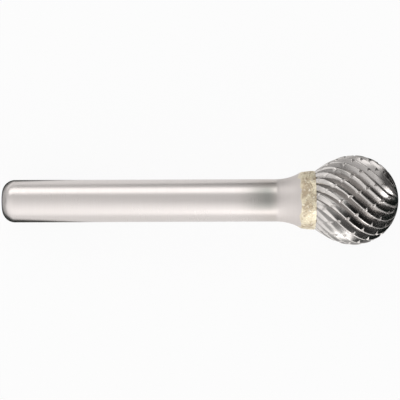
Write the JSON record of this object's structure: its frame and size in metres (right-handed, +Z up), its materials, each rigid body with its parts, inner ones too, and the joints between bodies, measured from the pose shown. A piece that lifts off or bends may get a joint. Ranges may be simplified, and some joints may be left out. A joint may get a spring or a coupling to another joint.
{
  "type": "carbide burr",
  "caption": "Ball-nosed rotary burr: a double-cut carbide ball brazed to the flared end of a round steel shank, lying at rest on its teeth and shank end.",
  "frame": {"origin": "middle of the bounding box's base, on the bench that the burr lies on", "axes": "+Z up from the bench; +X along the burr towards its ball, which the burr's own axis climbs towards by about 4 degrees; +Y across it"},
  "size_m": [0.056, 0.0126, 0.0127],
  "materials": {
    "shank_steel": "satin ground, fine turning marks",
    "braze_filler": "rough as-brazed filler with flux stain",
    "carbide": "ground gunmetal grey, bright on the tooth edges"
  },
  "bodies": {
    "root": {"shank": "shank_steel", "braze_joint": "braze_filler", "burr_head": "carbide"}
  },
  "joints": []
}
